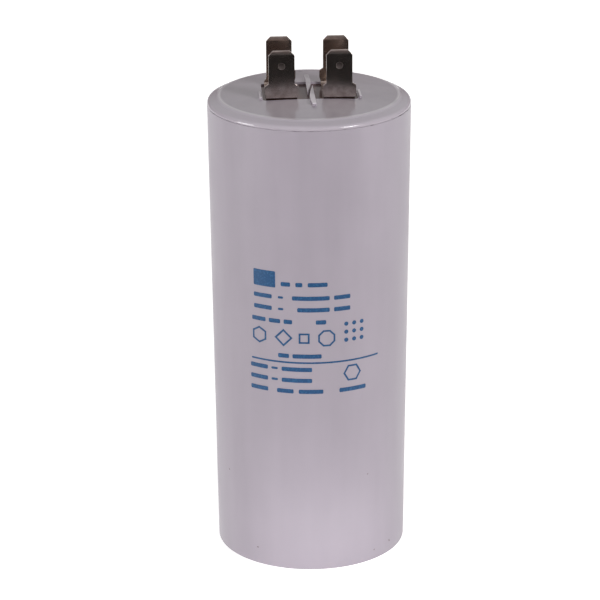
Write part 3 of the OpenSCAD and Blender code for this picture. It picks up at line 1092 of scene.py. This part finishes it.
    def build(self) -> Object:
        """Cuts the recess, raises fins and ribs, and cuts the rivet holes and the moulding mark.

        Returns:
            The finished piece.
        """
        piece = self.turn_lid()
        combine(piece, self.recess_space(), Joining.CUT)
        front_fin = self.raise_fin()
        rear_fin = copied(front_fin, "fin_rear")
        with editing(rear_fin):
            bpy.ops.transform.rotate(value=math.pi, orient_axis="Z", center_override=(self.fin_shift, 0, 0))
        for raised in (front_fin, rear_fin, *(self.raise_rib(side) for side in Side)):
            combine(piece, raised, Joining.UNION)
        for side in Side:
            hole = begin("hole_cut", bpy.ops.mesh.primitive_cylinder_add, vertices=HOLE_FACETS,
                         radius=self.shank_hole_d / 2, depth=4 * self.panel_t,
                         location=(side.value * self.pole_x, 0, self.panel_z))
            combine(piece, hole, Joining.CUT)
        mark_at = (*self.mark_place, self.crown_z(self.mark_place[1]))
        mark = begin("mark_cut", bpy.ops.mesh.primitive_cube_add, size=2 * self.mark_depth, location=mark_at)
        with editing(mark):
            stretch = [size / (2 * self.mark_depth) for size in self.mark_size]
            bpy.ops.transform.resize(value=(*stretch, 1), center_override=mark_at)
        combine(piece, mark, Joining.CUT)
        with editing(piece):
            close_up()
        smooth(piece)
        settle(piece, self.finish.make())
        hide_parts("cover")
        return piece


class Bar(NamedTuple):
    """Printed bar: its ends as angles from the front in degrees, its height and thickness in millimetres."""

    start: float
    end: float
    height: float
    thickness: float = 1.1


class Outline(NamedTuple):
    """Printed regular shape drawn as a line: angle and turn in degrees, height in millimetres, and radius."""

    angle: float
    height: float
    radius: float
    corners: int
    turn: float = 0.0


@dataclass
class Print:
    """Blue print on the case's front: bars, regular shapes and a field of dots."""

    case: Case
    wrapped_on: Object
    middle_z: float = mm(64)
    lift: float = mm(0.012)
    ink_t: float = mm(0.02)
    stroke: float = mm(0.45)
    corner: float = mm(0.28)
    # Largest share of a bar's thickness that its rounded corners take
    corner_most: float = 0.45
    strip: float = mm(1)
    dot_r: float = mm(0.55)
    dot_facets: int = 16
    dot_pitch: float = mm(2.1)
    # Middle of the field of dots: angle from the front in degrees, height in millimetres
    dot_grid: tuple[float, float] = (22.8, 63.5)
    bars: tuple[Bar, ...] = (
        Bar(-37, -23.2, 77.2, 4.2),
        Bar(-20, -14.5, 76.2), Bar(-11.5, -7.5, 76.2), Bar(-4.5, 6.8, 76.2),
        Bar(-37, -25.5, 72.7), Bar(-21.8, -18.6, 72.7, 0.6), Bar(-13.5, 8, 72.7), Bar(10.5, 20.3, 72.7),
        Bar(-37, -25.5, 69.7), Bar(-21.8, -18.6, 69.7, 0.6), Bar(-10.5, 8, 69.7), Bar(10.5, 20.3, 69.7),
        Bar(-38.5, -29.5, 66.5), Bar(-27.5, -20.5, 66.5), Bar(-18.5, -13.5, 66.5), Bar(0, 6, 66.5),
        Bar(-22, -15.5, 57.6), Bar(-13.5, 3.3, 57.6),
        Bar(-39.2, 39.8, 55.9, 0.45),
        Bar(-40, -28.5, 54.1), Bar(-26.3, -22.3, 54.1, 0.6), Bar(-20, -2.2, 54.1),
        Bar(-40, -28.5, 51.2), Bar(-26.3, -22.3, 51.2, 0.6), Bar(-20, -2.2, 51.2),
        Bar(-40, -28.5, 48.3), Bar(-23, -13, 48.3), Bar(-10, 4.3, 48.3),
        Bar(13.8, 30.8, 48.3),
    )
    outlines: tuple[Outline, ...] = (
        Outline(-33.7, 62.3, mm(2.2), 6),
        Outline(-18.7, 62.3, mm(2.3), 4),
        Outline(-6.7, 62.3, mm(1.9), 4, 45),
        Outline(6.3, 62.3, mm(2.3), 8, 22.5),
        Outline(21.8, 52.6, mm(2.4), 6, 30),
    )
    finish: Finish = PrintedInk("pad_printed_blue_ink")

    @property
    def radius(self) -> float:
        """Radius of the case in the middle of the print."""
        return self.case.outer_r(self.middle_z)

    def across(self, angle: float) -> float:
        """Gives the place along the unrolled case of an angle in degrees."""
        return self.radius * math.radians(angle)

    def lay_bar(self, bar: Bar) -> Object:
        """Draws one bar flat, with rounded corners.

        Args:
            bar: The bar's place and size.

        Returns:
            The flat bar.
        """
        width = self.across(bar.end) - self.across(bar.start)
        thickness = mm(bar.thickness)
        middle = (self.across((bar.start + bar.end) / 2), mm(bar.height), 0)
        piece = plate("bar", width, thickness, middle)
        with editing(piece):
            bpy.ops.mesh.bevel(offset=min(self.corner, self.corner_most * thickness), segments=3,
                               affect="VERTICES")
        return piece

    def lay_outline(self, outline: Outline) -> Object:
        """Draws one regular shape flat, as a line of even width.

        Args:
            outline: The shape's place and size.

        Returns:
            The flat shape.
        """
        middle = (self.across(outline.angle), mm(outline.height), 0)
        piece = begin("outline", bpy.ops.mesh.primitive_circle_add, vertices=outline.corners,
                      radius=outline.radius, fill_type="NGON", location=middle,
                      rotation=(0, 0, math.radians(outline.turn)))
        with editing(piece):
            bpy.ops.mesh.inset(thickness=self.stroke)
            bpy.ops.mesh.delete(type="FACE")
        return piece

    def lay_dots(self) -> list[Object]:
        """Draws a square field of dots flat.

        Returns:
            The flat dots.
        """
        middle = Vector((self.across(self.dot_grid[0]), mm(self.dot_grid[1]), 0))
        first = begin("dot", bpy.ops.mesh.primitive_circle_add, vertices=self.dot_facets, radius=self.dot_r,
                      fill_type="NGON", location=middle)
        dots = [first]
        for column in (-1, 0, 1):
            for row in (-1, 0, 1):
                if column or row:
                    dot = copied(first, "dot")
                    with editing(dot):
                        bpy.ops.transform.translate(value=(column * self.dot_pitch, row * self.dot_pitch, 0))
                    dots.append(dot)
        return dots

    def build(self) -> Object:
        """Joins all shapes and rolls them onto the case.

        Returns:
            The finished piece.
        """
        shapes = [self.lay_bar(bar) for bar in self.bars]
        shapes += [self.lay_outline(outline) for outline in self.outlines]
        shapes += self.lay_dots()
        piece = roll_on(shapes, "label_print", self.radius, self.wrapped_on, self.strip, self.lift,
                        self.ink_t)
        settle(piece, self.finish.make())
        return piece


def roll_on(shapes: Sequence[Object], name: str, radius: float, ground: Object,
            strip: float, lift: float, thickness: float) -> Object:
    """Joins flat shapes and rolls them round the Z axis onto a turned piece.

    Args:
        shapes: Flat pieces in the XY plane, which is the unrolled surface.
        name: Name of the joined piece.
        radius: Radius that the shapes are rolled to.
        ground: The piece that carries them.
        strip: Width between two cuts that let the shapes follow the curve.
        lift: Distance of the shapes from the surface.
        thickness: Thickness of the shapes.

    Returns:
        The joined piece, closed on all sides.
    """
    piece = shapes[0]
    hold(piece)
    for shape in shapes:
        shape.select_set(True)
    bpy.ops.object.join()
    piece.name = name
    piece.data.name = name
    reach = max(abs(vertex.co.x) for vertex in piece.data.vertices)
    with editing(piece):
        for step in range(-int(reach / strip), int(reach / strip) + 1):
            bpy.ops.mesh.select_all(action="SELECT")
            bpy.ops.mesh.bisect(plane_co=(step * strip, 0, 0), plane_no=(1, 0, 0))
        bpy.ops.mesh.select_all(action="SELECT")
        bpy.ops.transform.rotate(value=-math.pi / 2, orient_axis="X", center_override=(0, 0, 0))
    places = [vertex.co.x for vertex in piece.data.vertices]
    apply_modifier(piece, "SIMPLE_DEFORM", deform_method="BEND", deform_axis="Z",
                   angle=(max(places) - min(places)) / radius)
    with editing(piece):
        bpy.ops.transform.translate(value=(0, -radius, 0))
    apply_modifier(piece, "SHRINKWRAP", target=ground, wrap_method="NEAREST_SURFACEPOINT",
                   wrap_mode="ABOVE_SURFACE", offset=lift)
    apply_modifier(piece, "SOLIDIFY", thickness=thickness, offset=1.0)
    with editing(piece):
        close_up()
    return piece


@dataclass
class Specks:
    """A few dark specks of dust caught on the case."""

    case: Case
    wrapped_on: Object
    lift: float = mm(0.01)
    thickness: float = mm(0.02)
    strip: float = mm(0.2)
    corners: int = 7
    blot_stretch: tuple[float, float, float] = (1.3, 0.75, 1)
    middle_z: float = mm(10)
    # Angle from the front in degrees, height and radius in millimetres
    places: tuple[tuple[float, float, float], ...] = (
        (-37.5, 4.4, 0.22), (53.1, 3.1, 0.26), (38.7, 2.6, 0.18), (32.9, 24.2, 0.16), (-61.8, 22.7, 0.17),
    )
    finish: Finish = PlainFilling("dust_speck", pale="#8d807e", deep="#6a5c58", roughness=0.8, grain=mm(0.2),
                                  grain_depth=mm(0.01))

    def build(self) -> Object:
        """Draws the specks flat as uneven blots and rolls them onto the case.

        Returns:
            The finished piece.
        """
        radius = self.case.outer_r(self.middle_z)
        blots = []
        for number, (angle, height, size) in enumerate(self.places):
            middle = (radius * math.radians(angle), mm(height), 0)
            blot = begin("blot", bpy.ops.mesh.primitive_circle_add, vertices=self.corners, radius=mm(size),
                         fill_type="NGON", location=middle)
            with editing(blot):
                bpy.ops.transform.resize(value=self.blot_stretch, center_override=middle)
                bpy.ops.transform.rotate(value=number, orient_axis="Z", center_override=middle)
            blots.append(blot)
        piece = roll_on(blots, "dust_specks", radius, self.wrapped_on, self.strip, self.lift, self.thickness)
        settle(piece, self.finish.make())
        return piece


@dataclass
class InnerPieces:
    """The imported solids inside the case, which keep their shapes and get their finishes."""

    nodes: dict[str, Object]
    finishes: tuple[tuple[Finish, tuple[str, ...]], ...] = (
        (TinnedMetal("tinned_brass_tag", bright="#c4bbb0", tarnish="#a99e90", roughness=0.3),
         ("solder_tag_left", "solder_tag_right")),
        (TinnedMetal("tin_solder", bright="#c2c2c4", tarnish="#9fa0a3", roughness=0.28, line_stretch=1.0),
         ("tag_solder_left", "tag_solder_right", "solder_upper", "solder_lower")),
        (TinnedMetal("tinned_copper_wire", bright="#c9bfb4", tarnish="#b08d74", roughness=0.3),
         ("short_lead", "long_lead")),
        (PlainFilling("pvc_sleeve", pale="#e2ddcf", deep="#cfc9b8", roughness=0.45, grain=mm(0.8),
                      grain_depth=mm(0.01)), ("lead_sleeve",)),
        (PlainFilling("metallised_polypropylene_film", pale="#b9bcc0", deep="#8f9398", metallic=0.4,
                      roughness=0.25, grain=mm(0.6), grain_depth=mm(0.01), stretch=0.02), ("winding",)),
        (PlainFilling("polypropylene_tube", pale="#dedcd2", deep="#cac8bc", roughness=0.4, grain=mm(2),
                      grain_depth=mm(0.01)), ("core_tube",)),
        (PlainFilling("sprayed_zinc", pale="#a9a9a7", deep="#787877", metallic=0.7, roughness=0.75,
                      grain=mm(0.35), grain_depth=mm(0.08)), ("end_spray_upper", "end_spray_lower")),
        (PlainFilling("polyurethane_resin", pale="#8f7f5e", deep="#6f6145", roughness=0.3, grain=mm(6),
                      grain_depth=mm(0.05)), ("resin",)),
    )

    def dress(self) -> None:
        """Puts each finish on its solids."""
        for finish, names in self.finishes:
            material = finish.make()
            for name in names:
                node = self.nodes[name]
                if not node.material_slots:
                    node.data.materials.append(material)
                for slot in node.material_slots:
                    slot.material = material
                LOG.info("dressed %s in %s", name, finish.name)


@dataclass
class Lamp:
    """Soft lamp that faces a point on the object's axis."""

    name: str
    azimuth: float
    elevation: float
    power: float
    distance: float = 1.0
    width: float = 0.35
    height: float = 0.35
    aim: float = mm(60)
    mirrored: bool = True

    def build(self) -> None:
        """Adds the lamp, at its angle from the object's front in degrees."""
        azimuth = math.radians(self.azimuth)
        elevation = math.radians(self.elevation)
        towards = Vector((math.sin(azimuth) * math.cos(elevation), -math.cos(azimuth) * math.cos(elevation),
                          math.sin(elevation)))
        bpy.ops.object.select_all(action="DESELECT")
        place = Vector((0, 0, self.aim)) + towards * self.distance
        bpy.ops.object.light_add(type="AREA", location=place)
        lamp = bpy.context.object
        lamp.name = self.name
        lamp.rotation_euler = towards.to_track_quat("Z", "Y").to_euler()
        lamp.visible_camera = False
        lamp.visible_glossy = self.mirrored
        lamp.data.shape = "RECTANGLE"
        lamp.data.energy = self.power
        lamp.data.size = self.width
        lamp.data.size_y = self.height


@dataclass
class Studio:
    """Camera, lamps, world, floor and a dark card in front that only mirrors see."""

    target: Vector = field(default_factory=lambda: Vector((0, 0, mm(60))))
    lens: float = 169.12
    sensor: float = 36.0
    distance: float = mm(709.46)
    elevation: float = 20.43
    azimuth: float = -3.24
    yaw: float = -0.203
    pitch: float = 0.257
    roll: float = -0.276
    floor_size: float = 4.0
    floor_drop: float = mm(0.05)
    floor_glow: float = 0.78
    paper: tuple[str, str] = ("#e6e5e3", "#ebeae9")
    paper_fibre: float = mm(4)
    world_low: str = "#998c90"
    world_high: str = "#ffffff"
    world_turn: float = 0.5
    world_fill: float = 0.15
    card_y: float = mm(-200)
    card_w: float = mm(500)
    card_h: float = mm(145)
    card_tone: str = "#1c1a19"
    lamps: tuple[Lamp, ...] = (
        Lamp("left_lamp", -77, 8, 4.2),
        Lamp("right_lamp", 44, 25, 4.6, width=0.25, height=0.25),
        Lamp("front_fill", 0, 15, 1.8, width=0.5, height=0.5, mirrored=False),
        Lamp("back_fill", 170, 6, 2.5, width=0.5, height=0.5, mirrored=False),
        Lamp("low_reflector", 5, 0, 0.0075, distance=mm(48), width=mm(150), height=mm(8), aim=mm(4),
             mirrored=False),
    )

    def seen_mask(self, tree: NodeTree) -> Node:
        """Adds nodes that give 1 for camera, glossy and transmission rays.

        Args:
            tree: The node tree of the floor or the world.

        Returns:
            The node that gives the mask.
        """
        path = add(tree, "LightPath").outputs
        mirror = add(tree, "Math", (path["Is Camera Ray"], path["Is Glossy Ray"]), operation="MAXIMUM")
        return add(tree, "Math", (mirror, path["Is Transmission Ray"]), operation="MAXIMUM")

    def lay_floor(self) -> None:
        """Lays a pale floor that glows white for the camera and keeps the shadow."""
        floor = begin("floor", bpy.ops.mesh.primitive_plane_add, size=self.floor_size,
                      location=(0, 0, -self.floor_drop))
        material = bare_material("white_paper")
        tree = material.node_tree
        place = add(tree, "TexCoord").outputs["Object"]
        fibre = add(tree, "TexNoise", {"Vector": place, "Scale": per(self.paper_fibre), "Detail": 3.0})
        tone = add(tree, "Mix", (fibre, *self.paper), data_type="RGBA")
        paper = add(tree, "BsdfDiffuse", {"Color": tone})
        glow = add(tree, "Emission", {"Color": WHITE, "Strength": self.floor_glow})
        lit = add(tree, "AddShader", (paper, glow))
        both = add(tree, "MixShader", (self.seen_mask(tree), paper, lit))
        add(tree, "OutputMaterial", {"Surface": both})
        floor.data.materials.append(material)

    def stand_card(self) -> None:
        """Stands a dark card in front, which the metal mirrors and the camera does not see."""
        card = begin("dark_card", bpy.ops.mesh.primitive_plane_add, size=1, rotation=(math.pi / 2, 0, 0),
                     location=(0, self.card_y, self.card_h / 2))
        with editing(card):
            bpy.ops.transform.resize(value=(self.card_w, 1, self.card_h),
                                     center_override=(0, self.card_y, self.card_h / 2))
        material = bare_material("black_felt")
        tree = material.node_tree
        felt = add(tree, "BsdfPrincipled", {"Base Color": self.card_tone, "Roughness": 1.0})
        add(tree, "OutputMaterial", {"Surface": felt})
        card.data.materials.append(material)
        card.visible_camera = False
        card.visible_diffuse = False
        card.visible_shadow = False
        card.visible_transmission = False

    def light_world(self) -> None:
        """Makes a world that looks warm grey at the horizon, white above, and gives a dim even fill."""
        world = bpy.data.worlds.new("studio")
        world.use_nodes = True
        tree = world.node_tree
        tree.nodes.clear()
        fill = add(tree, "Background", {"Color": WHITE, "Strength": self.world_fill})
        way = add(tree, "TexCoord").outputs["Generated"]
        rise = add(tree, "SeparateXYZ", {"Vector": way}).outputs["Z"]
        level = add(tree, "MapRange", (rise, 0.0, self.world_turn))
        tone = add(tree, "Mix", (level, self.world_low, self.world_high), data_type="RGBA")
        backdrop = add(tree, "Background", {"Color": tone, "Strength": 1.0})
        both = add(tree, "MixShader", (self.seen_mask(tree), fill, backdrop))
        add(tree, "OutputWorld", {"Surface": both})
        bpy.context.scene.world = world

    def place_camera(self) -> None:
        """Places the camera at the photograph's angle, with a small yaw, pitch and roll off the target."""
        elevation = math.radians(self.elevation)
        towards = Vector((0, -math.cos(elevation), math.sin(elevation)))
        aim = towards.to_track_quat("Z", "Y").to_matrix().to_4x4()
        off = Matrix.Identity(4)
        for degrees, axis in ((-self.yaw, "Y"), (self.pitch, "X"), (self.roll, "Z")):
            off = off @ Matrix.Rotation(math.radians(degrees), 4, axis)
        turn = Matrix.Rotation(math.radians(self.azimuth), 4, "Z")
        bpy.ops.object.select_all(action="DESELECT")
        bpy.ops.object.camera_add()
        camera = bpy.context.object
        camera.name = "photo_camera"
        camera.data.sensor_width = self.sensor
        camera.data.lens = self.lens
        camera.matrix_world = turn @ Matrix.Translation(self.target + towards * self.distance) @ aim @ off
        bpy.context.scene.camera = camera

    def build(self) -> None:
        """Sets up everything around the object."""
        self.place_camera()
        self.lay_floor()
        self.stand_card()
        self.light_world()
        for lamp in self.lamps:
            lamp.build()
        bpy.context.scene.view_settings.view_transform = "Standard"
        LOG.info("set up the studio with %d lamps", len(self.lamps))


def main() -> None:
    """Builds the pieces in order, dresses the solids inside and sets up the studio."""
    logging.basicConfig(level=logging.INFO, format="%(name)s: %(message)s")
    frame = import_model()
    case = Case()
    case_piece = case.build()
    Cover().build()
    Terminals().build()
    Rivets().build()
    Print(case, case_piece).build()
    Specks(case, case_piece).build()
    InnerPieces(frame["nodes"]).dress()
    Studio().build()


if __name__ == "__main__":
    main()
